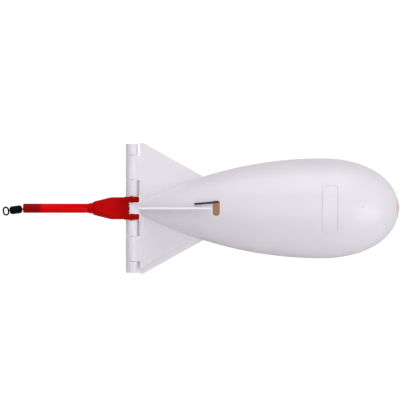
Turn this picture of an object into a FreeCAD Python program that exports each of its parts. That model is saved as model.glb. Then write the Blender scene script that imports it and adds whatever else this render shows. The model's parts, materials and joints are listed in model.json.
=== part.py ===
"""Hinged bait bomb for fishing: a two-shell pod on one cross pin, with an impact button in the nose.

Design frame, in millimetres: the hinge pin runs along Y through the origin, +X points to the nose and
the shells meet in the plane Z = 0, upper shell above it and lower shell below. When the part is written
out, it is rolled about X onto two of its four fins and set down with its lowest point at Z = 0.
"""

import FreeCAD, Part
import math
import os

Vector = FreeCAD.Vector
X_AXIS = Vector(1, 0, 0)
Y_AXIS = Vector(0, 1, 0)
Z_AXIS = Vector(0, 0, 1)
ORIGIN = Vector(0, 0, 0)

# Pod: one outline of revolution, drawn as a tail curve and a nose curve that meet at the widest point.
pod_radius = 30.0
pod_length = 160.0
widest_setback = 46.5
tail_start_x = 4.0
tail_start_radius = 3.3
tail_slope = 0.5
tail_reach = 31.6
shoulder_reach = 41.1
nose_shoulder_reach = 28.6
nose_tip_radius = 17.1
shell_wall = 1.8
cavity_start_x = 11.0
parting_gap = 0.2

# Ship-lap lip round the parting line: a tongue on the lower shell in a rebate of the upper shell.
lip_height = 1.3
lip_thickness = 0.75
lip_clearance = 0.15
lip_start_x = 16.0

# Hinge: a central hood over the spring, then boot lugs, then knuckles outwards to the pin's ends.
pin_radius = 1.0
running_clearance = 0.05
knuckle_radius = 3.65
knuckle_gap = 0.2
side_gap = 0.2
hood_radius = 4.1
hood_side_wall = 0.4
hood_bore_radius = 2.9
hood_back_degrees = 109.0
hood_neck_height = 2.75
lug_width = 3.6
inner_knuckle_width = 9.6
middle_knuckle_width = 14.6
outer_knuckle_width = 6.8
knuckle_end_wall = 1.6
knuckle_edge_round = 0.3

# Fins: two in the parting plane, each as a pair of thin plates, and one square to them on each shell.
fin_tip = 39.3
square_fin_tip = 41.6
fin_thickness = 1.4
fin_tip_flat = 2.0
fin_edge_gap = 1.25
fin_knuckle_gap = 0.5
fin_sweep_degrees = 29.2
fin_set_back = 3.4
fin_border_width = 2.0
fin_border_height = 0.5
fin_edge_round = 0.4
fin_boss_radius = 0.8
fin_boss_x = 9.4
fin_boss_y = -1.5
fin_boss_height = 5.4
square_fin_gap = 0.5
square_fin_root = 1.0

# Outside details of each shell.
slot_start_x = 48.5
slot_length = 4.1
slot_half_width = 4.5
slot_corner = 1.2
slot_far_corner = 1.9
badge_setback = 42.0
badge_length = 10.0
badge_width = 28.5
badge_line = 0.9
badge_height = 0.25
badge_corner = 3.0
gate_mark_setback = 23.3
gate_mark_y = 1.0
gate_mark_radius = 0.6
gate_mark_depth = 0.3

# Opening spring: two turns on the pin and one leg to each shell, all of one wire.
spring_wire = 1.1
spring_pin_clearance = 0.2
spring_turns = 2.0
spring_turn_gap = 0.05
leg_clearance = 0.15
leg_wall_gap = 0.2
leg_straight = 7.0
leg_end_setback = 10.8
leg_end_y = 2.6
leg_slot_y = 3.65
leg_turn_clearance = 0.1
lower_leg_setback = 2.5
guide_setback = 9.5
guide_length = 6.0
guide_clearance = 0.4
guide_thickness = 0.8
guide_height = 2.0
channel_end_x = 14.0

# Shape helpers: the share of a straight run that a bend may take, and the halvings that find a place.
bend_share = 0.45
outline_halvings = 40

# Impact button in the nose.
button_radius = 6.0
button_hole_clearance = 0.25
button_proud = 0.1
button_travel = 3.5
button_flange_radius = 7.4
button_flange_thickness = 1.6
button_flange_setback = 4.4
stem_radius = 3.0
wedge_length = 3.4
wedge_tip_radius = 1.0
clip_groove_depth = 0.7
clip_thickness = 0.7
clip_width = 1.8
clip_gap = 0.1
button_spring_wire = 0.7
button_spring_turns = 3.5

# Latch housing, screwed to two bosses of the lower shell. It guides the button and holds the wire clip.
bridge_setback = 12.0
bridge_thickness = 2.0
bridge_half_width = 7.5
bridge_top = 7.2
base_thickness = 2.0
base_top = -6.0
base_half_width = 13.5
base_length = 24.0
cradle_length = 4.0
cradle_half_width = 4.0
cradle_top = 1.6
boss_radius = 2.6
boss_spacing = 20.0
boss_setback = 8.5
screw_radius = 0.95
screw_length = 6.0
screw_head_radius = 1.9
screw_head_height = 1.3
screw_hole_radius = 1.1
screw_drive_radius = 0.6
screw_drive_depth = 0.7

# Wire clip that snaps over the catch post of the upper shell.
clip_wire = 1.2
clip_leg_offset = 2.0
clip_hole_clearance = 0.05
clip_flare_length = 2.5
clip_flare_offset = 1.2
clip_tail = 3.0
clip_wedge_gap = 0.5
catch_length = 4.0
catch_half_width = 1.2
catch_barb_half_width = 2.6
catch_barb_drop = 3.65
catch_clearance = 0.25
catch_gap = 2.0
catch_rib_thickness = 1.6
catch_rib_length = 13.0
catch_rib_bottom = 12.0

# Tail boot: a fork over the hinge hood that narrows to a sleeve round the tail tube.
boot_half_thickness = 4.5
boot_half_width = 6.65
boot_corner_radius = 7.6
boot_shoulder_x = -8.7
boot_neck_x = -22.8
boot_neck_radius = 4.1
boot_neck_step = 0.9
boot_end_x = -25.9
boot_lip_radius = 3.15
boot_pocket_clearance = 0.6
lug_radius = 4.5
lug_gap = 0.15
lug_edge_round = 0.5

# Tail tube and the trace that runs through it.
tube_radius = 2.78
tube_bore_radius = 1.8
tube_end_x = -65.2
tube_seat = 8.0
tube_edge_round = 0.3
trace_radius = 0.4
trace_clearance = 0.1
trace_stop_radius = 1.8
trace_stop_length = 5.0
trace_stop_clearance = 0.15
trace_stop_seat = 0.1
trace_loop_radius = 1.2
trace_loop_lead = 2.3
crimp_length = 4.5
crimp_wall = 0.35
crimp_strand_offset = 0.45
crimp_lead = 2.6

# Barrel swivel: two eyes whose heads turn in one barrel.
swivel_tilt_degrees = 7.5
swivel_pivot_inset = 2.7
eye_wire = 0.8
front_eye_radius = 1.2
barrel_start = 3.4
barrel_length = 7.4
barrel_radius = 2.45
barrel_end_radius = 1.6
barrel_taper = 0.9
barrel_end_wall = 1.0
barrel_chamber_radius = 1.5
head_radius = 1.15
head_length = 1.2
head_clearance = 0.3
shank_radius = 0.45
rear_eye_wire = 1.05
rear_eye_half_width = 2.25
rear_eye_half_length = 1.5
rear_eye_gap = 0.3

# Stand: the roll about X that lays the part on its fins, as it lies on a table.
resting_roll_degrees = 45.0

# Places that follow from the sizes above.
widest_x = pod_length - widest_setback
badge_centre_x = pod_length - badge_setback
gate_mark_x = pod_length - gate_mark_setback
leg_end_x = slot_start_x - leg_end_setback
lower_leg_end_x = slot_start_x - lower_leg_setback
guide_start_x = slot_start_x - guide_setback
coil_length = spring_turns * (spring_wire + spring_turn_gap) + spring_wire - 2 * spring_turn_gap
leg_coil_y = coil_length / 2 + 2 * spring_turn_gap + spring_wire / 2
hood_half_width = leg_coil_y + spring_wire / 2 + spring_turn_gap + hood_side_wall
lug_inner_y = hood_half_width + lug_gap
lug_outer_y = lug_inner_y + lug_width
inner_knuckle_start = lug_outer_y + side_gap
middle_knuckle_start = inner_knuckle_start + inner_knuckle_width + knuckle_gap
outer_knuckle_start = middle_knuckle_start + middle_knuckle_width + knuckle_gap
hinge_end_y = outer_knuckle_start + outer_knuckle_width
pin_end_y = hinge_end_y - knuckle_end_wall
fin_edge_x = knuckle_radius + fin_edge_gap
coil_radius = pin_radius + spring_pin_clearance + spring_wire / 2
button_back_x = pod_length - button_flange_setback
flange_back_x = button_back_x - button_flange_thickness
bridge_front_x = pod_length - bridge_setback
bridge_back_x = bridge_front_x - bridge_thickness
clip_front_x = bridge_back_x - clip_gap
clip_back_x = clip_front_x - clip_thickness
wedge_front_x = clip_back_x - clip_thickness
wedge_tip_x = wedge_front_x - wedge_length
catch_front_x = wedge_tip_x - button_travel - catch_gap
catch_back_x = catch_front_x - catch_length
base_back_x = bridge_front_x - base_length
cradle_front_x = base_back_x + cradle_length
boss_x = bridge_back_x - boss_setback
pocket_radius = hood_radius + boot_pocket_clearance
swivel_pivot = Vector(tube_end_x + swivel_pivot_inset, 0, 0)


def box(low_x, high_x, low_y, high_y, low_z, high_z):
    """A block between two corners."""
    size = (high_x - low_x, high_y - low_y, high_z - low_z)
    return Part.makeBox(*size, Vector(low_x, low_y, low_z))


def rod(radius, start, end):
    """A round bar between two points."""
    run = end.sub(start)
    return Part.makeCylinder(radius, run.Length, start, run)


def cross_rod(radius, low_y, high_y):
    """A round bar on the hinge axis."""
    return rod(radius, Vector(0, low_y, 0), Vector(0, high_y, 0))


def axial_rod(radius, low_x, high_x):
    """A round bar on the pod's axis."""
    return rod(radius, Vector(low_x, 0, 0), Vector(high_x, 0, 0))


def prism(points, run):
    """A closed outline of corner points, extruded by a vector."""
    outline = Part.makePolygon(points + [points[0]])
    return Part.Face(outline).extrude(run)


def turned(points):
    """A solid turned about the X axis from (x, radius) points."""
    corners = [Vector(x, 0, radius) for x, radius in points]
    corners.append(Vector(points[-1][0], 0, 0))
    corners.append(Vector(points[0][0], 0, 0))
    outline = Part.makePolygon(corners + [corners[0]])
    return Part.Face(outline).revolve(ORIGIN, X_AXIS, 360)


def route(points):
    """A path of straight runs joined by tangent arcs, each arc as large as its two runs allow."""
    edges = []
    start = points[0]
    for before, corner, after in zip(points, points[1:], points[2:]):
        run_in = corner.sub(before)
        run_out = after.sub(corner)
        half_turn = run_in.getAngle(run_out) / 2
        reach = bend_share * min(run_in.Length, run_out.Length)
        enter = corner.sub(Vector(run_in).normalize().multiply(reach))
        leave = corner.add(Vector(run_out).normalize().multiply(reach))
        radius = reach / math.tan(half_turn)
        inward = leave.sub(corner).normalize().add(enter.sub(corner).normalize()).normalize()
        middle = corner.add(inward.multiply(radius / math.cos(half_turn) - radius))
        edges.append(Part.LineSegment(start, enter).toShape())
        edges.append(Part.Arc(enter, middle, leave).toShape())
        start = leave
    edges.append(Part.LineSegment(start, points[-1]).toShape())
    return edges


def wire_along(edges, radius):
    """A round wire swept along connected edges."""
    path = Part.Wire(edges)
    first = edges[0]
    start = first.valueAt(first.FirstParameter)
    heading = first.tangentAt(first.FirstParameter)
    section = Part.Wire([Part.makeCircle(radius, start, heading)])
    return path.makePipeShell([section], True, False)


def coil_spring(radius, wire, turns, height):
    """A helical spring about Z whose wire lies between Z = 0 and the given height."""
    rise = height - wire
    helix = Part.makeHelix(rise / turns, rise, radius)
    section = Part.Wire([Part.makeCircle(wire / 2, Vector(radius, 0, 0), Y_AXIS)])
    spring = Part.Wire(helix.Edges).makePipeShell([section], True, True)
    spring.translate(Vector(0, 0, wire / 2))
    return spring


def rounded_block(low, high, radius):
    """A block between two corners with its four edges along Z rounded."""
    block = box(low.x, high.x, low.y, high.y, low.z, high.z)
    upright = [edge for edge in block.Edges if edge.BoundBox.ZLength > high.z - low.z - radius]
    return block.makeFillet(radius, upright)


def outline_controls(inset):
    """Control points of the pod's outline in (x, radius), moved inwards by an inset."""
    slope_run = Vector(1, 0, tail_slope).normalize()
    start = Vector(tail_start_x, 0, tail_start_radius)
    points = [
        start,
        start + slope_run * (tail_reach * math.hypot(1, tail_slope)),
        Vector(widest_x - shoulder_reach, 0, pod_radius),
        Vector(widest_x, 0, pod_radius),
        Vector(widest_x + nose_shoulder_reach, 0, pod_radius),
        Vector(pod_length, 0, nose_tip_radius),
        Vector(pod_length, 0, 0),
    ]
    legs = [b.sub(a).normalize() for a, b in zip(points, points[1:])]
    inwards = [Vector(leg.z, 0, -leg.x) for leg in legs]
    moved = [points[0] + inwards[0] * inset]
    for point, before, after in zip(points[1:], inwards, inwards[1:]):
        moved.append(point + (before + after) * (inset / (1 + before.dot(after))))
    moved.append(points[-1] + inwards[-1] * inset)
    return moved


def outline_curves(inset):
    """Tail curve and nose curve of the pod's outline."""
    controls = outline_controls(inset)
    curves = []
    for poles in (controls[:4], controls[3:]):
        curve = Part.BezierCurve()
        curve.setPoles(poles)
        curves.append(curve)
    return curves


def outline_radius(x, inset):
    """Radius of the pod's outline at a place on its axis."""
    for curve in outline_curves(inset):
        low, high = 0.0, 1.0
        if curve.value(high).x < x:
            continue
        for _ in range(outline_halvings):
            middle = (low + high) / 2
            if curve.value(middle).x < x:
                low = middle
            else:
                high = middle
        return curve.value(low).z
    return 0.0


def outline_height(x, y, inset):
    """Height above the parting plane of the pod's outline at a place beside its axis."""
    return math.sqrt(outline_radius(x, inset) ** 2 - y ** 2)


def pod_solid(inset):
    """The pod's full round form, moved inwards by an inset."""
    tail, nose = outline_curves(inset)
    start = tail.value(0)
    end = nose.value(1)
    edges = [tail.toShape(), nose.toShape()]
    edges.append(Part.LineSegment(end, Vector(start.x, 0, 0)).toShape())
    edges.append(Part.LineSegment(Vector(start.x, 0, 0), start).toShape())
    return Part.Face(Part.Wire(edges)).revolve(ORIGIN, X_AXIS, 360)


def above_parting():
    """Everything on the upper side of the parting gap."""
    return box(-pod_length, 2 * pod_length, -pod_length, pod_length, parting_gap / 2, pod_length)


def fin_outline(set_back):
    """Corners (x, distance from the axis) of a fin in the parting plane, its slanted edge set back."""
    sweep = math.radians(fin_sweep_degrees)
    tip_x = fin_edge_x + fin_tip_flat - set_back / math.sin(sweep)
    foot_x = tip_x + fin_tip / math.tan(sweep)
    corners = [(fin_edge_x, 0.0)]
    if tip_x > fin_edge_x:
        corners.append((fin_edge_x, fin_tip))
        corners.append((tip_x, fin_tip))
    else:
        corners.append((fin_edge_x, fin_tip - (fin_edge_x - tip_x) * math.tan(sweep)))
    corners.append((foot_x, 0.0))
    return corners


def parting_fins():
    """The two plates in the parting plane: a full one and one that is set back for a finger."""
    base_z = parting_gap / 2
    border_top = base_z + fin_thickness + fin_border_height
    plates = []
    for side, set_back in ((1, 0.0), (-1, fin_set_back)):
        corners = [Vector(x, side * reach, base_z) for x, reach in fin_outline(set_back)]
        plate = prism(corners, Vector(0, 0, fin_thickness))
        top_edges = [edge for edge in plate.Edges if edge.BoundBox.ZMin > base_z + fin_thickness / 2]
        plates.append(plate.makeFillet(fin_edge_round, top_edges))
        tip = max(reach for _, reach in fin_outline(set_back))
        low_y, high_y = sorted((side * lug_inner_y, side * tip))
        plates.append(box(fin_edge_x, fin_edge_x + fin_border_width, low_y, high_y, base_z, border_top))
    return plates


def square_fin_outline():
    """Corners (x, distance from the axis) of the square fin, whose slanted edge ends just before the slot."""
    tip_x = fin_edge_x + fin_tip_flat
    foot_x = slot_start_x - square_fin_gap
    foot_reach = outline_radius(foot_x, 0)
    fall = (square_fin_tip - foot_reach) / (foot_x - tip_x)
    return [
        (fin_edge_x, 0.0),
        (fin_edge_x, square_fin_tip),
        (tip_x, square_fin_tip),
        (foot_x + square_fin_root, foot_reach - fall * square_fin_root),
        (foot_x + square_fin_root, 0.0),
    ]


def square_fin():
    """The fin that stands square to the parting plane, with its small moulded boss."""
    corners = [Vector(x, -fin_thickness / 2, reach) for x, reach in square_fin_outline()]
    fin = prism(corners, Vector(0, fin_thickness, 0))
    long_edges = [edge for edge in fin.Edges if edge.BoundBox.YLength < fin_edge_round]
    fin = fin.makeFillet(fin_edge_round, [edge for edge in long_edges if edge.BoundBox.ZMax > fin_edge_round])
    boss_foot = Vector(fin_boss_x, fin_boss_y, parting_gap / 2)
    boss = rod(fin_boss_radius, boss_foot, boss_foot + Vector(0, 0, fin_boss_height))
    return [fin, boss]


def hood():
    """The shell's half of the cover over the spring, open to the boot behind."""
    barrel = cross_rod(hood_radius, -hood_half_width, hood_half_width)
    lean = math.tan(math.radians(hood_back_degrees - 90))
    base_z = parting_gap / 2
    corners = [
        Vector(-base_z * lean, -hood_half_width, base_z),
        Vector(hood_radius, -hood_half_width, base_z),
        Vector(hood_radius, -hood_half_width, hood_radius),
        Vector(-hood_radius * lean, -hood_half_width, hood_radius),
    ]
    barrel = barrel.common(prism(corners, Vector(0, 2 * hood_half_width, 0)))
    neck = box(0, fin_edge_x + fin_border_width, -hood_half_width, hood_half_width,
               parting_gap / 2, hood_neck_height)
    return [barrel, neck]


def hood_bore():
    """The room for the spring under the hood."""
    half = hood_half_width - hood_side_wall
    return cross_rod(hood_bore_radius, -half, half)


def badge():
    """A raised plain outline on the pod's widest part."""
    low = Vector(badge_centre_x - badge_length / 2, -badge_width / 2, 0)
    high = Vector(badge_centre_x + badge_length / 2, badge_width / 2, 2 * pod_radius)
    line = Vector(badge_line, badge_line, 0)
    outer = rounded_block(low, high, badge_corner)
    inner = rounded_block(low + line, high - line, badge_corner - badge_line)
    skin = pod_solid(-badge_height).cut(pod_solid(shell_wall / 2))
    return outer.cut(inner).common(skin)


def leg_slot():
    """The slot through which a spring leg comes out of a shell."""
    low = Vector(slot_start_x, -slot_half_width, 0)
    high = Vector(slot_start_x + slot_length, slot_half_width, 2 * pod_radius)
    near_half = rounded_block(Vector(low.x, low.y / 2, low.z), high, slot_corner)
    far_half = rounded_block(low, Vector(high.x, high.y / 2, high.z), slot_far_corner)
    return near_half.fuse(far_half)


def gate_mark():
    """The shallow round mark where the moulding was fed."""
    top = outline_height(gate_mark_x, gate_mark_y, 0)
    foot = Vector(gate_mark_x, gate_mark_y, top - gate_mark_depth)
    return rod(gate_mark_radius, foot, foot + Vector(0, 0, 2 * gate_mark_depth))


def leg_edges(comes_out):
    """Path of a spring leg: round the pin, along the wall, then out of the slot and back if there is one."""
    back = Part.Arc(Vector(0, leg_coil_y, -coil_radius), Vector(-coil_radius, leg_coil_y, 0),
                    Vector(0, leg_coil_y, coil_radius)).toShape()
    standoff = (spring_wire / 2 + leg_wall_gap) / math.cos(math.atan(tail_slope))
    bend_x = lower_leg_end_x
    if comes_out:
        bend_x = slot_start_x + slot_length - spring_wire - leg_turn_clearance
    inside_end = outline_height(bend_x, leg_slot_y, shell_wall) - standoff
    outside_end = outline_height(bend_x, leg_slot_y, 0) + standoff
    free_end = outline_height(leg_end_x, leg_end_y, 0) + standoff
    points = [
        Vector(0, leg_coil_y, coil_radius),
        Vector(leg_straight, leg_coil_y, coil_radius),
        Vector(bend_x, leg_slot_y, inside_end),
    ]
    if comes_out:
        points.append(Vector(bend_x, leg_slot_y, outside_end))
        points.append(Vector(leg_end_x, leg_end_y, free_end))
    return [back] + route(points)


def leg_guide():
    """Two ribs inside the lower shell that keep the end of its spring leg in line."""
    ribs = []
    room = spring_wire / 2 + guide_clearance
    for side in (-1, 1):
        low_y, high_y = sorted((leg_slot_y + side * room, leg_slot_y + side * (room + guide_thickness)))
        inner_edge = []
        for x in (guide_start_x, guide_start_x + guide_length):
            inner_edge.append(Vector(x, low_y, outline_height(x, leg_slot_y, shell_wall) - guide_height))
        outer_edge = [Vector(point.x, low_y, pod_radius) for point in reversed(inner_edge)]
        ribs.append(prism(inner_edge + outer_edge, Vector(0, high_y - low_y, 0)))
    return [rib.common(pod_solid(shell_wall / 2)) for rib in ribs]


def leg_channel(comes_out):
    """The passage in the tail of a shell that lets its spring leg through."""
    passage = wire_along(leg_edges(comes_out)[1:], spring_wire / 2 + leg_clearance)
    return passage.common(box(spring_wire, channel_end_x, -pod_radius, pod_radius, 0, pod_radius))


def shell_body(leg_comes_out):
    """What both shells share, drawn as the upper one: wall, fins, hood, badge, gate mark, leg channel."""
    body = pod_solid(0).common(box(fin_edge_x, 2 * pod_length, -pod_radius, pod_radius, 0, pod_radius))
    body = body.fuse(parting_fins() + square_fin() + hood())
    cavity = pod_solid(shell_wall).common(
        box(cavity_start_x, 2 * pod_length, -pod_radius, pod_radius, -pod_radius, pod_radius))
    body = body.cut(cavity).fuse(badge()).common(above_parting())
    button_hole = axial_rod(button_radius + button_hole_clearance, button_back_x - shell_wall, 2 * pod_length)
    return body.cut([hood_bore(), gate_mark(), leg_channel(leg_comes_out), button_hole])


def turned_over(shape):
    """A copy of an upper-shell shape turned half round the pod's axis, as the lower shell uses it."""
    other = shape.copy()
    other.rotate(ORIGIN, X_AXIS, 180)
    return other


def knuckle(low_y, high_y):
    """One solid hinge barrel with rounded ends."""
    barrel = cross_rod(knuckle_radius, low_y, high_y)
    ends = [edge for edge in barrel.Edges if edge.BoundBox.YLength < knuckle_edge_round]
    return barrel.makeFillet(knuckle_edge_round, ends)


def knuckle_fillers():
    """The strips of fin plate that come close to the other shell's inner knuckles."""
    strips = []
    for low_y, high_y in both_sides(inner_knuckle_start, inner_knuckle_width):
        strips.append(box(knuckle_radius + fin_knuckle_gap, fin_edge_x + fin_border_width, low_y, high_y,
                          parting_gap / 2, parting_gap / 2 + fin_thickness))
    return strips


def knuckles(spans, side):
    """Hinge knuckles over the given spans along the pin, with webs to one side's fin plates."""
    web_top = parting_gap / 2 + fin_thickness + fin_border_height
    low_z, high_z = sorted((side * parting_gap / 2, side * web_top))
    pieces = []
    for low_y, high_y in spans:
        pieces.append(knuckle(low_y, high_y))
        pieces.append(box(0, fin_edge_x + fin_border_width, low_y, high_y, low_z, high_z))
    return pieces


def both_sides(start, width):
    """The same span along the pin on both sides of the middle."""
    return [(start, start + width), (-start - width, -start)]


def lip_ring(inner_inset, outer_inset, high_z):
    """A band of the pod's wall along the parting line, clear of the tail and of the button."""
    band = pod_solid(outer_inset).cut(pod_solid(inner_inset))
    stop_x = button_back_x - button_flange_thickness
    return band.common(box(lip_start_x, stop_x, -pod_radius, pod_radius, -parting_gap, high_z))


def catch_post():
    """The barbed post inside the upper shell that the wire clip snaps over, with its rib."""
    barb_top = -clip_wire / 2 - catch_clearance
    post = box(catch_back_x, catch_front_x, -catch_half_width, catch_half_width, barb_top, pod_radius)
    corners = [
        Vector(catch_back_x, -catch_barb_half_width, barb_top),
        Vector(catch_back_x, catch_barb_half_width, barb_top),
        Vector(catch_back_x, catch_half_width / 2, barb_top - catch_barb_drop),
        Vector(catch_back_x, -catch_half_width / 2, barb_top - catch_barb_drop),
    ]
    barb = prism(corners, Vector(catch_length, 0, 0))
    middle_x = (catch_back_x + catch_front_x) / 2
    rib = box(middle_x - catch_rib_length / 2, middle_x + catch_rib_length / 2,
              -catch_rib_thickness / 2, catch_rib_thickness / 2, catch_rib_bottom, pod_radius)
    return post.fuse([rib, barb]).common(pod_solid(shell_wall / 2))


def upper_shell():
    """Upper shell: middle knuckles and fillers, rebate for the lip, slot for its spring leg, catch post."""
    rebate_inset = shell_wall - lip_thickness - lip_clearance
    rebate = lip_ring(shell_wall, rebate_inset, lip_height + lip_clearance)
    shell = shell_body(True).cut([rebate, leg_slot()])
    spans = both_sides(middle_knuckle_start, middle_knuckle_width)
    shell = shell.fuse(knuckles(spans, 1) + knuckle_fillers() + [catch_post()])
    return shell.cut(cross_rod(pin_radius + running_clearance, -hinge_end_y, hinge_end_y))


def housing_bosses():
    """The two screw bosses inside the lower shell."""
    top = base_top - base_thickness
    bosses = []
    for y in (-boss_spacing / 2, boss_spacing / 2):
        post = rod(boss_radius, Vector(boss_x, y, top), Vector(boss_x, y, -pod_radius))
        hole = rod(screw_radius, Vector(boss_x, y, top), Vector(boss_x, y, base_top - screw_length))
        bosses.append(post.common(pod_solid(shell_wall / 2)).cut(hole))
    return bosses


def lower_shell():
    """Lower shell: inner knuckles, one closed end knuckle, lip tongue, leg guide and housing bosses."""
    shell = turned_over(shell_body(False).fuse(leg_guide()))
    tongue = lip_ring(shell_wall, shell_wall - lip_thickness, lip_height)
    spans = both_sides(inner_knuckle_start, inner_knuckle_width)
    spans.append((-hinge_end_y, -outer_knuckle_start))
    shell = shell.fuse(knuckles(spans, -1) + [tongue] + housing_bosses())
    return shell.cut(cross_rod(pin_radius, -pin_end_y, hinge_end_y))


def hinge_pin():
    """The steel pin through every knuckle."""
    return cross_rod(pin_radius, -pin_end_y, pin_end_y)


def hinge_pin_cap():
    """The cap that closes the open end of the hinge and keeps the pin in."""
    cap = knuckle(outer_knuckle_start, hinge_end_y)
    return cap.cut(cross_rod(pin_radius, outer_knuckle_start, pin_end_y))


def opening_spring_coil():
    """The coil of the opening spring on the pin."""
    coil = coil_spring(coil_radius, spring_wire, spring_turns, coil_length)
    coil.translate(Vector(0, 0, -coil_length / 2))
    coil.rotate(ORIGIN, X_AXIS, -90)
    return coil


def spring_leg(comes_out):
    """A spring leg, drawn as the upper shell's."""
    return wire_along(leg_edges(comes_out), spring_wire / 2)


def nose_button():
    """Impact button: domed head, flange, stem with a clip groove, and the wedge that spreads the clip."""
    head = pod_solid(-button_proud).common(axial_rod(button_radius, button_back_x, 2 * pod_length))
    flange = axial_rod(button_flange_radius, flange_back_x, button_back_x)
    stem = turned([
        (wedge_tip_x, wedge_tip_radius),
        (wedge_front_x, stem_radius),
        (flange_back_x, stem_radius),
    ])
    groove = axial_rod(stem_radius, clip_back_x, clip_front_x)
    groove = groove.cut(axial_rod(stem_radius - clip_groove_depth, clip_back_x, clip_front_x))
    return head.fuse([flange, stem]).cut(groove)


def button_clip():
    """The open ring in the stem's groove that stops the button at the bridge."""
    inner = stem_radius - clip_groove_depth
    ring = axial_rod(inner + clip_width, clip_back_x, clip_front_x)
    ring = ring.cut(axial_rod(inner, clip_back_x, clip_front_x))
    mouth = box(clip_back_x, clip_front_x, -inner, inner, -2 * stem_radius, -inner / 2)
    return ring.cut(mouth)


def button_spring():
    """The spring that pushes the button out against the water or the ground."""
    length = flange_back_x - bridge_front_x - 2 * spring_turn_gap
    mean_radius = (stem_radius + button_radius) / 2
    spring = coil_spring(mean_radius, button_spring_wire, button_spring_turns, length)
    spring.rotate(ORIGIN, Y_AXIS, 90)
    spring.translate(Vector(bridge_front_x + spring_turn_gap, 0, 0))
    return spring


def latch_housing():
    """Base plate on the bosses, bridge round the button's stem, and cradle for the wire clip."""
    base_low = base_top - base_thickness
    base = box(base_back_x, bridge_front_x, -cradle_half_width, cradle_half_width, base_low, base_top)
    wings = box(boss_x - boss_radius, boss_x + boss_radius, -base_half_width, base_half_width,
                base_low, base_top)
    bridge = box(bridge_back_x, bridge_front_x, -bridge_half_width, bridge_half_width, base_low, bridge_top)
    corners = [edge for edge in bridge.Edges if edge.BoundBox.XLength > bridge_thickness / 2]
    bridge = bridge.makeFillet(bridge_thickness, corners)
    cradle = box(base_back_x, cradle_front_x, -cradle_half_width, cradle_half_width, base_low, cradle_top)
    housing = base.fuse([wings, bridge, cradle])
    holes = [axial_rod(stem_radius + running_clearance, bridge_back_x, bridge_front_x)]
    for side in (-1, 1):
        leg_y = side * clip_leg_offset
        hole_radius = clip_wire / 2 + clip_hole_clearance
        holes.append(rod(hole_radius, Vector(base_back_x, leg_y, 0), Vector(cradle_front_x, leg_y, 0)))
        screw_y = side * boss_spacing / 2
        foot = Vector(boss_x, screw_y, base_low)
        holes.append(rod(screw_hole_radius, foot, foot + Vector(0, 0, base_thickness)))
    return housing.cut(holes)


def housing_screw(side):
    """A small screw that holds the housing on its boss."""
    y = side * boss_spacing / 2
    foot = Vector(boss_x, y, base_top - screw_length)
    seat = Vector(boss_x, y, base_top)
    crown = seat + Vector(0, 0, screw_head_height)
    head = rod(screw_head_radius, seat, crown)
    drive = rod(screw_drive_radius, crown - Vector(0, 0, screw_drive_depth), crown)
    return rod(screw_radius, foot, seat).fuse(head).cut(drive)


def latch_clip():
    """U-shaped wire clip: its legs grip the catch post until the button's wedge spreads them."""
    front_x = wedge_tip_x + clip_wedge_gap
    bend_x = front_x - clip_flare_length
    back_x = base_back_x - clip_tail
    half = [
        (front_x, clip_leg_offset + clip_flare_offset),
        (bend_x, clip_leg_offset),
        (back_x, clip_leg_offset),
    ]
    points = [Vector(x, y, 0) for x, y in half]
    points += [Vector(x, -y, 0) for x, y in reversed(half)]
    return wire_along(route(points), clip_wire / 2)


def tail_boot():
    """The forked boot on the hinge pin, with the tube's seat and the pocket for the trace's stop."""
    body = turned([
        (boot_end_x, boot_lip_radius),
        (boot_neck_x - boot_neck_step, boot_lip_radius),
        (boot_neck_x, boot_neck_radius),
        (boot_shoulder_x, boot_corner_radius),
        (0, boot_corner_radius),
    ])
    body = body.common(box(boot_end_x, 0, -boot_half_width, boot_half_width,
                           -boot_half_thickness, boot_half_thickness))
    lugs = cross_rod(lug_radius, -lug_outer_y, lug_outer_y)
    rims = [edge for edge in lugs.Edges if edge.BoundBox.YLength < lug_edge_round]
    boot = body.fuse(lugs.makeFillet(lug_edge_round, rims))
    fork = cross_rod(pocket_radius, -lug_inner_y, lug_inner_y)
    seat = axial_rod(tube_radius, boot_end_x, boot_end_x + tube_seat)
    stop_back = -pocket_radius - trace_stop_length - trace_stop_seat
    stop_bore = axial_rod(trace_stop_radius + trace_stop_clearance, stop_back, 0)
    trace_hole = axial_rod(trace_radius + trace_clearance, boot_end_x, 0)
    pin_bore = cross_rod(pin_radius + running_clearance, -lug_outer_y, lug_outer_y)
    return boot.cut([fork, seat, stop_bore, trace_hole, pin_bore])


def tail_tube():
    """The soft tube pushed into the boot."""
    tube = axial_rod(tube_radius, tube_end_x, boot_end_x + tube_seat)
    rim = [edge for edge in tube.Edges if edge.Closed and edge.BoundBox.XMax < tube_end_x + tube_edge_round]
    tube = tube.makeFillet(tube_edge_round, rim)
    return tube.cut(axial_rod(tube_bore_radius, tube_end_x, boot_end_x + tube_seat))


def trace_front_x():
    """Front end of the trace, flush with its stop."""
    return -pocket_radius - trace_stop_seat


def crimp_front_x():
    """Front end of the crimp that closes the trace's loop."""
    return swivel_pivot.x + trace_loop_radius + trace_loop_lead + crimp_length


def trace_cable():
    """The trace: a coated wire from the stop through the tube to a crimped loop."""
    front = crimp_front_x()
    back = front - crimp_length
    turn_x = swivel_pivot.x
    wide_x = turn_x + trace_loop_radius
    points = [
        Vector(trace_front_x(), 0, 0),
        Vector(front + crimp_lead, 0, 0),
        Vector(front + trace_radius, 0, -crimp_strand_offset),
        Vector(back - trace_radius, 0, -crimp_strand_offset),
        Vector(wide_x + trace_radius, 0, -trace_loop_radius),
        Vector(turn_x, 0, -trace_loop_radius),
        Vector(turn_x, 0, trace_loop_radius),
        Vector(wide_x + trace_radius, 0, trace_loop_radius),
        Vector(back - trace_radius, 0, crimp_strand_offset),
        Vector(front, 0, crimp_strand_offset),
    ]
    return wire_along(route(points), trace_radius)


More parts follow.
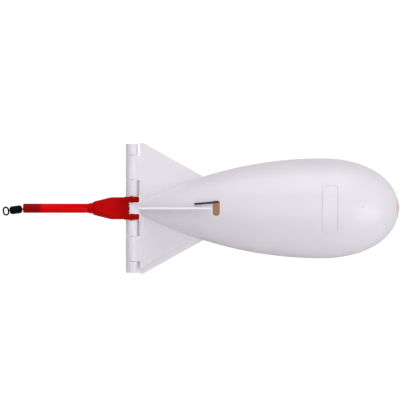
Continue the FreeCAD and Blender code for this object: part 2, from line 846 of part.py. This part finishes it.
def trace_stop():
    """The ferrule that stops the trace in the boot."""
    front = trace_front_x()
    ferrule = axial_rod(trace_stop_radius, front - trace_stop_length, front)
    return ferrule.cut(axial_rod(trace_radius, front - trace_stop_length, front))


def trace_crimp():
    """The double crimp that closes the trace's loop."""
    front = crimp_front_x()
    back = front - crimp_length
    radius = trace_radius + crimp_wall
    offset = crimp_strand_offset
    body = box(back, front, -radius, radius, -offset, offset)
    strands = []
    for z in (-offset, offset):
        body = body.fuse(rod(radius, Vector(back, 0, z), Vector(front, 0, z)))
        strands.append(rod(trace_radius, Vector(back, 0, z), Vector(front, 0, z)))
    return body.cut(strands)


def on_swivel(shape):
    """Sets a shape that was drawn along +X from the swivel's pivot into its tilted place."""
    shape.rotate(ORIGIN, Z_AXIS, 180 + swivel_tilt_degrees)
    shape.translate(swivel_pivot)
    return shape


def swivel_front_eye():
    """The small eye in the trace's loop, with its shank and head."""
    ring = Part.makeTorus(front_eye_radius, eye_wire / 2, ORIGIN, Z_AXIS)
    head_start = barrel_start + barrel_end_wall + head_clearance
    shank = axial_rod(shank_radius, front_eye_radius, head_start + head_length / 2)
    head = axial_rod(head_radius, head_start, head_start + head_length)
    return on_swivel(ring.fuse([shank, head]))


def swivel_barrel():
    """The hollow barrel that both heads turn in."""
    end = barrel_start + barrel_length
    barrel = turned([
        (barrel_start, barrel_end_radius),
        (barrel_start + barrel_taper, barrel_radius),
        (end - barrel_taper, barrel_radius),
        (end, barrel_end_radius),
    ])
    chamber = axial_rod(barrel_chamber_radius, barrel_start + barrel_end_wall, end - barrel_end_wall)
    bore = axial_rod(shank_radius + running_clearance, barrel_start, end)
    return on_swivel(barrel.cut([chamber, bore]))


def swivel_rear_eye():
    """The line eye at the tail end, with its shank and head."""
    end = barrel_start + barrel_length
    ring_x = end + rear_eye_gap + rear_eye_wire / 2 + rear_eye_half_length
    straight = rear_eye_half_width - rear_eye_half_length
    ring = []
    for side in (-1, 1):
        centre = Vector(ring_x, side * straight, 0)
        bend = Part.makeTorus(rear_eye_half_length, rear_eye_wire / 2, centre, Z_AXIS)
        low_y, high_y = sorted((side * straight, side * 2 * rear_eye_half_width))
        reach = rear_eye_half_length + rear_eye_wire
        ring.append(bend.common(box(ring_x - reach, ring_x + reach, low_y, high_y, -reach, reach)))
        bar_x = ring_x + side * rear_eye_half_length
        ring.append(rod(rear_eye_wire / 2, Vector(bar_x, -straight, 0), Vector(bar_x, straight, 0)))
    head_end = end - barrel_end_wall - head_clearance
    head = axial_rod(head_radius, head_end - head_length, head_end)
    shank = axial_rod(shank_radius, head_end - head_length / 2, ring_x - rear_eye_half_length)
    return on_swivel(head.fuse([shank] + ring))


def all_pieces():
    """Every piece by node name, in the design frame."""
    return {
        "upper_shell": upper_shell(),
        "lower_shell": lower_shell(),
        "hinge_pin": hinge_pin(),
        "hinge_pin_cap": hinge_pin_cap(),
        "opening_spring_coil": opening_spring_coil(),
        "upper_spring_leg": spring_leg(True),
        "lower_spring_leg": turned_over(spring_leg(False)),
        "nose_button": nose_button(),
        "button_clip": button_clip(),
        "button_spring": button_spring(),
        "latch_housing": latch_housing(),
        "latch_clip": latch_clip(),
        "housing_screw_left": housing_screw(1),
        "housing_screw_right": housing_screw(-1),
        "tail_boot": tail_boot(),
        "tail_tube": tail_tube(),
        "trace_cable": trace_cable(),
        "trace_stop": trace_stop(),
        "trace_crimp": trace_crimp(),
        "swivel_front_eye": swivel_front_eye(),
        "swivel_barrel": swivel_barrel(),
        "swivel_rear_eye": swivel_rear_eye(),
    }


def write_out(pieces):
    """Rolls the pieces onto their fins, sets them down on Z = 0 and writes one file for each."""
    bounds = FreeCAD.BoundBox()
    for shape in pieces.values():
        shape.rotate(ORIGIN, X_AXIS, resting_roll_degrees)
        bounds.add(shape.optimalBoundingBox(False))
    rest = Vector(-bounds.Center.x, -bounds.Center.y, -bounds.ZMin)
    os.makedirs("parts", exist_ok=True)
    for name, shape in pieces.items():
        shape.translate(rest)
        shape.exportStep(f"parts/{name}.step")
        print(name, shape.isValid(), len(shape.Solids), round(shape.Volume, 1))
    print("hinge axis passes through", [round(value, 4) for value in rest])
    print("size", round(bounds.XLength, 3), round(bounds.YLength, 3), round(bounds.ZLength, 3))


write_out(all_pieces())
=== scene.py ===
"""Looks of a hinged bait bomb: white two-shell pod, red tail boot and tube, black barrel swivel."""

import json
import logging
import math
from dataclasses import dataclass
from enum import Enum

import bmesh
import bpy
from mathutils import Matrix, Vector


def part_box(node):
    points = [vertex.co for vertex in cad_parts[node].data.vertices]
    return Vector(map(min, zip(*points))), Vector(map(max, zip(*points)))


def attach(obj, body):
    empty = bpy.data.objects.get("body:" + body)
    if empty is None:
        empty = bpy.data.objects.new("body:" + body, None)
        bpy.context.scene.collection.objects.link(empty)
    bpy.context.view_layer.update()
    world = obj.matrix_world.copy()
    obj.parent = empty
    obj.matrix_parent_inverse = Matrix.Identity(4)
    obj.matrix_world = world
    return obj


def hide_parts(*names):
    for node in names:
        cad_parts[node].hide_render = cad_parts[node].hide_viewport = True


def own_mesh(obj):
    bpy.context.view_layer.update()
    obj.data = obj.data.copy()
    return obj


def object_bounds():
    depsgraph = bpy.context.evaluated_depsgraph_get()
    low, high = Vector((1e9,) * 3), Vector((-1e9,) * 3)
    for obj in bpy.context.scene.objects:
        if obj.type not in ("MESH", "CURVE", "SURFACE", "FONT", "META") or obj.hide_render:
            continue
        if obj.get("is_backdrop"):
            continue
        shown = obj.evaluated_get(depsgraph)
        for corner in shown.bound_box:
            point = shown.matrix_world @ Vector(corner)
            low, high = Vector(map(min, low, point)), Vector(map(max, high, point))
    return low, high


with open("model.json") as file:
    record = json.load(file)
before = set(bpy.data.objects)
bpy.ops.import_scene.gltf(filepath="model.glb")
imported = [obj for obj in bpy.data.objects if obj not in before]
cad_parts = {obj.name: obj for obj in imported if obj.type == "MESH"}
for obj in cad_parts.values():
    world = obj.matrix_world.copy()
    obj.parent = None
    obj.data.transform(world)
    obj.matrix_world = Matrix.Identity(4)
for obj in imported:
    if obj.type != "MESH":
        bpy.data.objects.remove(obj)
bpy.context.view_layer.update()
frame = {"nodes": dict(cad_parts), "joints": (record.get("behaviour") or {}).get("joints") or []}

MM = 0.001
LOG = logging.getLogger("bait_bomb")


class Body(Enum):
    """The bodies that new pieces ride on."""

    LOWER_HALF = "lower_half"
    TAIL = "tail"
    BARREL = "barrel"


def linear(hex_colour: str) -> tuple[float, float, float, float]:
    """Turn an sRGB hex colour into linear values.

    Args:
        hex_colour: six hex digits, red first.

    Returns:
        Red, green, blue and a full alpha.
    """
    values = [int(hex_colour[i:i + 2], 16) / 255 for i in (0, 2, 4)]
    red, green, blue = [v / 12.92 if v <= 0.04045 else ((v + 0.055) / 1.055) ** 2.4 for v in values]
    return red, green, blue, 1.0


def add_node(tree: bpy.types.NodeTree, kind: str, settings: dict | None = None,
             links: dict | None = None) -> bpy.types.Node:
    """Add one node to a tree.

    Args:
        tree: the node tree.
        kind: the node's type name, without its ShaderNode prefix.
        settings: values by attribute name, or by socket name or number for an input.
        links: output sockets by the name or number of the input they go to.

    Returns:
        The new node.
    """
    node = tree.nodes.new("ShaderNode" + kind)
    for name, value in (settings or {}).items():
        if isinstance(name, str) and name not in node.inputs:
            setattr(node, name, value)
        else:
            node.inputs[name].default_value = value
    for name, socket in (links or {}).items():
        tree.links.new(socket, node.inputs[name])
    return node


@dataclass(frozen=True)
class Fade:
    """A second colour that comes in along the part, between two places ahead of the hinge."""

    colour: str
    from_mm: float
    to_mm: float

    def share(self, tree: bpy.types.NodeTree, place: bpy.types.Node) -> bpy.types.NodeSocket:
        """Find how far the second colour has come in.

        Args:
            tree: the material's node tree.
            place: its texture coordinate node.

        Returns:
            A socket that is 0 at the first place and 1 at the second.
        """
        hinge_x = Axes.read().hinge.x
        split = add_node(tree, "SeparateXYZ", {}, {"Vector": place.outputs["Object"]})
        limits = {"From Min": hinge_x + self.from_mm * MM, "From Max": hinge_x + self.to_mm * MM,
                  "interpolation_type": "SMOOTHSTEP"}
        return add_node(tree, "MapRange", limits, {"Value": split.outputs["X"]}).outputs["Result"]


@dataclass(frozen=True)
class Finish:
    """A surface finish: base values of the shader, and the mottle and grain that break them up."""

    name: str
    colour: str
    shade: str
    roughness: float
    roughness_swing: float = 0.06
    metallic: float = 0.0
    ior: float = 1.5
    specular: float = 0.5
    mottle_mm: float = 12.0
    grain_mm: float = 0.6
    grain_height_mm: float = 0.004
    soft_edge_mm: float = 0.0
    subsurface: float = 0.0
    subsurface_mm: float = 1.0
    glow: str = "FFFFFF"
    stretch: tuple[float, float, float] = (1.0, 1.0, 1.0)
    second: Fade | None = None

    def tint(self, tree: bpy.types.NodeTree, place: bpy.types.Node) -> bpy.types.NodeSocket:
        """Mix the two tones of the surface, and its second colour if it has one.

        Args:
            tree: the material's node tree.
            place: its texture coordinate node.

        Returns:
            The colour socket.
        """
        mottle = add_node(tree, "TexNoise", {"Scale": 1 / (self.mottle_mm * MM), "Detail": 3.0},
                          {"Vector": place.outputs["Object"]})
        ends = {"data_type": "RGBA", 6: linear(self.shade), 7: linear(self.colour)}
        tones = add_node(tree, "Mix", ends, {0: mottle.outputs["Fac"]})
        if self.second is None:
            return tones.outputs[2]
        both = add_node(tree, "Mix", {"data_type": "RGBA", 7: linear(self.second.colour)},
                        {0: self.second.share(tree, place), 6: tones.outputs[2]})
        return both.outputs[2]

    def build(self) -> bpy.types.Material:
        """Make the material, or find it if it is made already.

        Returns:
            The finished material.
        """
        if self.name in bpy.data.materials:
            return bpy.data.materials[self.name]
        material = bpy.data.materials.new(self.name)
        material.use_nodes = True
        tree = material.node_tree
        tree.nodes.clear()
        place = add_node(tree, "TexCoord")
        stretched = add_node(tree, "Mapping", {"Scale": self.stretch},
                             {"Vector": place.outputs["Object"]})
        grain = add_node(tree, "TexNoise", {"Scale": 1 / (self.grain_mm * MM), "Detail": 2.0},
                         {"Vector": stretched.outputs["Vector"]})
        swing = {"To Min": self.roughness - self.roughness_swing,
                 "To Max": self.roughness + self.roughness_swing}
        rough = add_node(tree, "MapRange", swing, {"Value": grain.outputs["Fac"]})
        bump = add_node(tree, "Bump", {"Strength": 1.0, "Distance": self.grain_height_mm * MM},
                        {"Height": grain.outputs["Fac"]})
        if self.soft_edge_mm:
            edge = add_node(tree, "Bevel", {"Radius": self.soft_edge_mm * MM, "samples": 6})
            tree.links.new(edge.outputs["Normal"], bump.inputs["Normal"])
        settings = {
            "Metallic": self.metallic,
            "IOR": self.ior,
            "Specular IOR Level": self.specular,
            "Subsurface Weight": self.subsurface,
            "Subsurface Scale": self.subsurface_mm * MM,
            "Subsurface Radius": linear(self.glow)[:3],
        }
        shader = add_node(tree, "BsdfPrincipled", settings, {
            "Base Color": self.tint(tree, place),
            "Roughness": rough.outputs["Result"],
            "Normal": bump.outputs["Normal"],
        })
        add_node(tree, "OutputMaterial", {}, {"Surface": shader.outputs["BSDF"]})
        return material


# Moulded ABS, polished tool: clean bright white with a soft gloss and a very slight flow unevenness.
WHITE_ABS = Finish("moulded_white_abs", "F1ECF3", "EAE5ED", 0.3, mottle_mm=22.0, grain_mm=0.9,
                   grain_height_mm=0.002, soft_edge_mm=0.3, subsurface=0.1, subsurface_mm=1.0,
                   glow="FFE6D0")
# Moulded ABS in red: saturated, glossy, slightly darker in its thin edges.
RED_ABS = Finish("moulded_red_abs", "D6202B", "C81823", 0.28, mottle_mm=6.0, grain_mm=0.5,
                 grain_height_mm=0.002, soft_edge_mm=0.25, subsurface=0.1, subsurface_mm=0.8, glow="FF5040")
# Moulded soft PVC: deep saturated red, with a satin skin and hardly any gloss; its second colour is painted
# shade that darkens the boot towards the fork by the hinge.
RED_PVC_BOOT = Finish("moulded_soft_red_pvc", "CC0002", "BE0001", 0.4, specular=0.04, mottle_mm=5.0,
                      # The fade to A80001, from 12 to 3 mm behind the hinge, is painted shade at the fork.
                      grain_mm=0.4, grain_height_mm=0.006, second=Fade("A80001", -12.0, -3.0))
# Extruded soft PVC tubing: bright red, smooth, darker at the end where the crimp and the eye fill it.
RED_PVC_TUBE = Finish("extruded_red_pvc", "E40001", "DA0001", 0.3, specular=0.05, mottle_mm=9.0,
                      grain_mm=0.3, grain_height_mm=0.001, stretch=(0.1, 1.0, 1.0),
                      second=Fade("960002", -52.5, -56.5))
# Drawn and oiled spring steel: dark grey wire with bright streaks.
SPRING_STEEL = Finish("oiled_spring_steel", "57524F", "3A3536", 0.34, 0.1, metallic=1.0, mottle_mm=2.0,
                      grain_mm=0.2, grain_height_mm=0.004)
# Ground stainless wire: bright pin with fine turning marks.
STAINLESS = Finish("ground_stainless", "C9C8C6", "B5B4B2", 0.25, 0.08, metallic=1.0, mottle_mm=3.0,
                   grain_mm=0.2, grain_height_mm=0.003)
# Zinc-plated steel: pale bluish screws with a cloudy plate.
ZINC_PLATE = Finish("zinc_plated_steel", "CDD0D2", "B3B7BA", 0.32, 0.1, metallic=1.0, mottle_mm=1.0,
                    grain_mm=0.15, grain_height_mm=0.003)
# Moulded acetal in grey: dull and waxy.
GREY_ACETAL = Finish("moulded_grey_acetal", "8B8C8F", "7E7F82", 0.5, mottle_mm=6.0, grain_mm=0.3,
                     grain_height_mm=0.006, soft_edge_mm=0.2)
# Nylon-coated wire: smooth black skin over a stranded core.
NYLON_COAT = Finish("nylon_coated_wire", "1B1B1C", "121213", 0.35, mottle_mm=2.0, grain_mm=0.3,
                    grain_height_mm=0.006)
# Tarnished brass: dull brown crimps.
DULL_BRASS = Finish("tarnished_brass", "7D6336", "5C4826", 0.42, 0.1, metallic=1.0, mottle_mm=1.5,
                    grain_mm=0.2, grain_height_mm=0.006)
# Black nickel plate: near-black metal with a low sheen, rubbed lighter in patches.
BLACK_NICKEL = Finish("black_nickel_plate", "171519", "0B0A0D", 0.34, 0.1, metallic=1.0, mottle_mm=1.2,
                      grain_mm=0.15, grain_height_mm=0.004)


@dataclass(frozen=True)
class Axes:
    """The part's own axes: hinge at the origin, X to the nose, Y along the pin, Z off the upper shell."""

    hinge: Vector
    along_pin: Vector
    outwards: Vector

    @classmethod
    def read(cls) -> "Axes":
        """Find the axes from the hinge joint of the two shells."""
        joint = next(j for j in frame["joints"] if j["name"] == "shell_opening")
        along_pin = -Vector(joint["axis"]).normalized()
        return cls(Vector(joint["pos_m"]), along_pin, Vector((1, 0, 0)).cross(along_pin))

    def matrix(self) -> Matrix:
        """Matrix from millimetres on these axes to metres on the row's axes."""
        turn = Matrix((Vector((1, 0, 0)), self.along_pin, self.outwards)).transposed().to_4x4()
        return Matrix.Translation(self.hinge) @ turn @ Matrix.Scale(MM, 4)


def new_object(name: str, mesh: bmesh.types.BMesh) -> bpy.types.Object:
    """Link a new object made from a bmesh, and free the bmesh.

    Args:
        name: the object's name.
        mesh: its shape, in metres on the row's axes.

    Returns:
        The object.
    """
    data = bpy.data.meshes.new(name)
    mesh.to_mesh(data)
    mesh.free()
    thing = bpy.data.objects.new(name, data)
    bpy.context.scene.collection.objects.link(thing)
    return thing


@dataclass(frozen=True)
class Piece:
    """How a new piece is shown, and the CAD node that it stands for."""

    name: str
    finish: Finish
    body: Body
    slot: str
    node: str

    def show(self, mesh: bmesh.types.BMesh) -> bpy.types.Object:
        """Turn a finished bmesh into the piece.

        Args:
            mesh: its shape, in metres on the row's axes.

        Returns:
            The piece.
        """
        bmesh.ops.recalc_face_normals(mesh, faces=mesh.faces)
        for face in mesh.faces:
            face.smooth = True
        thing = new_object(self.name, mesh)
        thing.data.materials.append(self.finish.build())
        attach(thing, self.body.value)
        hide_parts(self.node)
        LOG.info("made %s in %s", self.name, self.finish.name)
        return thing


def dress(finish: Finish, *nodes: str) -> None:
    """Give carried-over CAD nodes a finish.

    Args:
        finish: the finish.
        nodes: their names.
    """
    for name in nodes:
        node = frame["nodes"][name]
        node.data.materials.clear()
        node.data.materials.append(finish.build())
        LOG.info("dressed %s in %s", name, finish.name)


def lathe(profile: list[tuple[float, float]], rounding: list[tuple[int, float]],
          steps: int = 96) -> bmesh.types.BMesh:
    """Turn a closed ring of (x, radius) corners about the X axis.

    Args:
        profile: the corners in order, in millimetres.
        rounding: pairs of a corner's number and its radius, for the corners that are rounded.
        steps: faces round the turn.

    Returns:
        The turned shape, in millimetres on the part's axes.
    """
    mesh = bmesh.new()
    corners = [mesh.verts.new((x, 0.0, radius)) for x, radius in profile]
    for start, end in zip(corners, corners[1:] + corners[:1]):
        mesh.edges.new((start, end))
    for number, radius in rounding:
        bmesh.ops.bevel(mesh, geom=[corners[number]], offset=radius, offset_type="OFFSET", segments=6,
                        profile=0.5, affect="VERTICES", material=-1)
    outline = mesh.verts[:] + mesh.edges[:]
    bmesh.ops.spin(mesh, geom=outline, cent=(0, 0, 0), axis=(1, 0, 0), angle=math.tau, steps=steps,
                   use_merge=True)
    bmesh.ops.remove_doubles(mesh, verts=mesh.verts, dist=MM)
    return mesh


@dataclass
class Pod:
    """The two white shells on their pin."""

    def build(self) -> None:
        """Dress the shells, the cap of the hinge and the pin."""
        dress(WHITE_ABS, "upper_shell", "lower_shell", "hinge_pin_cap")
        dress(STAINLESS, "hinge_pin")


@dataclass
class OpeningSpring:
    """The coil on the pin and its two legs."""

    def build(self) -> None:
        """Dress the coil and the legs."""
        dress(SPRING_STEEL, "opening_spring_coil", "upper_spring_leg", "lower_spring_leg")


@dataclass
class Latch:
    """The nose button, its spring and the wire clip that it spreads."""

    wire_mm: float = 0.7
    turns: float = 3.5
    coil_radius_mm: float = 4.5
    travel_mm: float = 3.5
    wire_sides: int = 12
    steps_a_turn: int = 40

    def build(self) -> None:
        """Dress the latch's pieces and wind the button's spring."""
        dress(RED_ABS, "nose_button")
        dress(STAINLESS, "button_clip", "latch_clip")
        dress(GREY_ACETAL, "latch_housing")
        dress(ZINC_PLATE, "housing_screw_left", "housing_screw_right")
        self.wind_spring()

    def wind_spring(self) -> None:
        """Wind the round wire of the button's spring."""
        low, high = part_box("button_spring")
        axes = Axes.read()
        start = (low[0] - axes.hinge.x) / MM
        length = (high[0] - low[0]) / MM
        wire = self.wire_mm * 0.5
        mesh = bmesh.new()
        bmesh.ops.create_circle(mesh, segments=self.wire_sides, radius=wire, cap_ends=True)
        upright = Matrix.Rotation(math.pi / 2, 4, "X")
        seat = Matrix.Translation((start + wire, 0, self.coil_radius_mm)) @ upright
        bmesh.ops.transform(mesh, matrix=seat, verts=mesh.verts)
        steps = round(self.turns * self.steps_a_turn)
        rise = (length - self.wire_mm) / steps
        bmesh.ops.spin(mesh, geom=mesh.faces[:], cent=(0, 0, 0), axis=(1, 0, 0), dvec=(rise, 0, 0),
                       angle=self.turns * math.tau, steps=steps)
        bmesh.ops.transform(mesh, matrix=axes.matrix(), verts=mesh.verts)
        spring = Piece("button_spring_wire", STAINLESS, Body.LOWER_HALF, "spring_steel",
                       "button_spring").show(mesh)
        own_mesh(spring)


@dataclass
class Tail:
    """The soft boot, the tube pushed into it and the trace inside."""

    voxel_mm: float = 0.2
    smoothing_rounds: int = 5
    tube_radius_mm: float = 2.78
    tube_bore_mm: float = 1.8
    tube_round_mm: float = 0.45

    def build(self) -> None:
        """Make the boot and the tube, and dress the trace."""
        self.mould_boot()
        self.extrude_tube()
        dress(NYLON_COAT, "trace_cable")
        dress(DULL_BRASS, "trace_stop", "trace_crimp")

    def mould_boot(self) -> None:
        """Round every edge of the boot, as soft moulded plastic has none that is sharp."""
        mesh = bmesh.new()
        mesh.from_mesh(frame["nodes"]["tail_boot"].data)
        bmesh.ops.remove_doubles(mesh, verts=mesh.verts, dist=MM * MM)
        rough = new_object("boot_blank", mesh)
        remesh = rough.modifiers.new("voxels", "REMESH")
        remesh.mode = "VOXEL"
        remesh.voxel_size = self.voxel_mm * MM
        evaluated = rough.evaluated_get(bpy.context.evaluated_depsgraph_get())
        mesh = bmesh.new()
        mesh.from_mesh(evaluated.to_mesh())
        evaluated.to_mesh_clear()
        bpy.data.objects.remove(rough)
        for _ in range(self.smoothing_rounds):
            bmesh.ops.smooth_vert(mesh, verts=mesh.verts, factor=0.5, use_axis_x=True, use_axis_y=True,
                                  use_axis_z=True)
        Piece("soft_tail_boot", RED_PVC_BOOT, Body.TAIL, "red_boot", "tail_boot").show(mesh)

    def extrude_tube(self) -> None:
        """Make the tube, with its free end rounded by the heat of the cut."""
        axes = Axes.read()
        low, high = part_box("tail_tube")
        back = (low[0] - axes.hinge.x) / MM
        front = (high[0] - axes.hinge.x) / MM
        profile = [
            (back, self.tube_bore_mm),
            (back, self.tube_radius_mm),
            (front, self.tube_radius_mm),
            (front, self.tube_bore_mm),
        ]
        mesh = lathe(profile, [(0, self.tube_round_mm), (1, self.tube_round_mm)])
        bmesh.ops.transform(mesh, matrix=axes.matrix(), verts=mesh.verts)
        Piece("soft_tail_tube", RED_PVC_TUBE, Body.TAIL, "red_tube", "tail_tube").show(mesh)


@dataclass
class Swivel:
    """The two eyes and the barrel that they turn in."""

    start_mm: float = 3.4
    length_mm: float = 7.4
    radius_mm: float = 2.45
    end_radius_mm: float = 1.6
    taper_mm: float = 0.9
    shoulder_round_mm: float = 0.4
    end_wall_mm: float = 1.0
    chamber_radius_mm: float = 1.5
    bore_radius_mm: float = 0.5

    def build(self) -> None:
        """Make the barrel and dress the eyes."""
        dress(BLACK_NICKEL, "swivel_front_eye", "swivel_rear_eye")
        end = self.start_mm + self.length_mm
        profile = [
            (self.start_mm, self.bore_radius_mm),
            (self.start_mm, self.end_radius_mm),
            (self.start_mm + self.taper_mm, self.radius_mm),
            (end - self.taper_mm, self.radius_mm),
            (end, self.end_radius_mm),
            (end, self.bore_radius_mm),
            (end - self.end_wall_mm, self.bore_radius_mm),
            (end - self.end_wall_mm, self.chamber_radius_mm),
            (self.start_mm + self.end_wall_mm, self.chamber_radius_mm),
            (self.start_mm + self.end_wall_mm, self.bore_radius_mm),
        ]
        full, half = self.shoulder_round_mm, self.shoulder_round_mm / 2
        rounds = [(1, half), (2, full), (3, full), (4, half)]
        mesh = lathe(profile, rounds, steps=64)
        joint = next(j for j in frame["joints"] if j["name"] == "barrel_spin")
        heading = Vector(joint["axis"]).normalized()
        turn = heading.to_track_quat("X", "Z").to_matrix().to_4x4()
        seat = Matrix.Translation(Vector(joint["pos_m"])) @ turn
        bmesh.ops.transform(mesh, matrix=seat @ Matrix.Scale(MM, 4), verts=mesh.verts)
        Piece("turned_barrel", BLACK_NICKEL, Body.BARREL, "black_nickel", "swivel_barrel").show(mesh)


@dataclass
class Studio:
    """Floor, soft lights and camera."""

    view_width_mm: float = 246.0
    aim_x_mm: float = 43.9
    aim_up_mm: float = 1.95
    distance_mm: float = 1500.0
    sensor_mm: float = 36.0
    floor_glow: float = 1.25
    floor_glow_share: float = 0.8
    soaked_x_mm: float = 75.0
    soaked_radius_mm: float = 8.0
    soaked_watts: float = 0.006
    soaked_colour: str = "FFC890"
    floor_half_side: float = 3.0
    clip_start: float = 0.01
    air_strength: float = 0.33
    aim_height: float = 0.03

    def floor(self) -> None:
        """Lay the plain pale floor under the part."""
        low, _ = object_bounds()
        mesh = bmesh.new()
        bmesh.ops.create_grid(mesh, x_segments=1, y_segments=1, size=self.floor_half_side)
        bmesh.ops.translate(mesh, verts=mesh.verts, vec=(0, 0, low[2]))
        floor = new_object("studio_floor", mesh)
        material = bpy.data.materials.new("matt_white_paper")
        material.use_nodes = True
        tree = material.node_tree
        tree.nodes.clear()
        paper = add_node(tree, "BsdfPrincipled", {"Base Color": linear("DEDEDE"), "Roughness": 0.9})
        lit = add_node(tree, "Emission", {"Color": linear("FFFFFF"), "Strength": self.floor_glow})
        seen = add_node(tree, "LightPath")
        share = add_node(tree, "Math", {"operation": "MULTIPLY", 1: self.floor_glow_share},
                         {0: seen.outputs["Is Camera Ray"]})
        mixed = add_node(tree, "MixShader", {}, {0: share.outputs[0], 1: paper.outputs["BSDF"],
                                                 2: lit.outputs["Emission"]})
        add_node(tree, "OutputMaterial", {}, {"Surface": mixed.outputs["Shader"]})
        floor.data.materials.append(material)
        floor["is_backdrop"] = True

    def light(self, name: str, place: tuple, size: float, watts: float) -> None:
        """Hang a square soft light that faces the part.

        Args:
            name: the light's name.
            place: its position in metres.
            size: its side in metres.
            watts: its power.
        """
        data = bpy.data.lights.new(name, "AREA")
        data.shape = "SQUARE"
        data.size = size
        data.energy = watts
        lamp = bpy.data.objects.new(name, data)
        lamp.location = place
        towards = Vector((0, 0, self.aim_height)) - Vector(place)
        lamp.rotation_euler = towards.to_track_quat("-Z", "Y").to_euler()
        bpy.context.scene.collection.objects.link(lamp)

    def soaked_light(self) -> None:
        """Hang a small warm light inside the shut pod, for the light that soaks through its thin wall."""
        axes = Axes.read()
        data = bpy.data.lights.new("soaked_light", "POINT")
        data.shadow_soft_size = self.soaked_radius_mm * MM
        data.energy = self.soaked_watts
        data.color = linear(self.soaked_colour)[:3]
        lamp = bpy.data.objects.new("soaked_light", data)
        lamp.location = axes.hinge + Vector((1, 0, 0)) * self.soaked_x_mm * MM
        lamp.visible_camera = False
        bpy.context.scene.collection.objects.link(lamp)

    def camera(self) -> None:
        """Set the camera square to the parting plane."""
        axes = Axes.read()
        aim = axes.hinge + (Vector((1, 0, 0)) * self.aim_x_mm + axes.along_pin * self.aim_up_mm) * MM
        data = bpy.data.cameras.new("studio_camera")
        data.sensor_width = self.sensor_mm
        data.lens = self.sensor_mm * self.distance_mm / self.view_width_mm
        data.clip_start = self.clip_start
        camera = bpy.data.objects.new("studio_camera", data)
        camera.location = aim + axes.outwards * self.distance_mm * MM
        basis = Matrix((Vector((1, 0, 0)), axes.along_pin, axes.outwards)).transposed()
        camera.rotation_euler = basis.to_euler()
        bpy.context.scene.collection.objects.link(camera)
        bpy.context.scene.camera = camera

    def build(self) -> None:
        """Set up the whole studio."""
        self.camera()
        self.floor()
        self.soaked_light()
        self.light("sky_panel", (0.0, 0.35, 1.2), 1.2, 7.4)
        self.light("front_panel", (0.0, -0.85, 0.88), 1.0, 3.3)
        self.light("nose_panel", (1.1, -0.8, 0.42), 0.8, 5.6)
        world = bpy.data.worlds.new("studio_air")
        world.use_nodes = True
        air = world.node_tree.nodes["Background"]
        air.inputs["Color"].default_value = linear("FFFFFF")
        air.inputs["Strength"].default_value = self.air_strength
        bpy.context.scene.world = world
        bpy.context.scene.view_settings.view_transform = "Standard"


def main() -> None:
    """Build and dress every sub-assembly, then the studio."""
    logging.basicConfig(level=logging.INFO, format="%(message)s")
    for assembly in (Pod(), OpeningSpring(), Latch(), Tail(), Swivel(), Studio()):
        assembly.build()


if __name__ == "__main__":
    main()
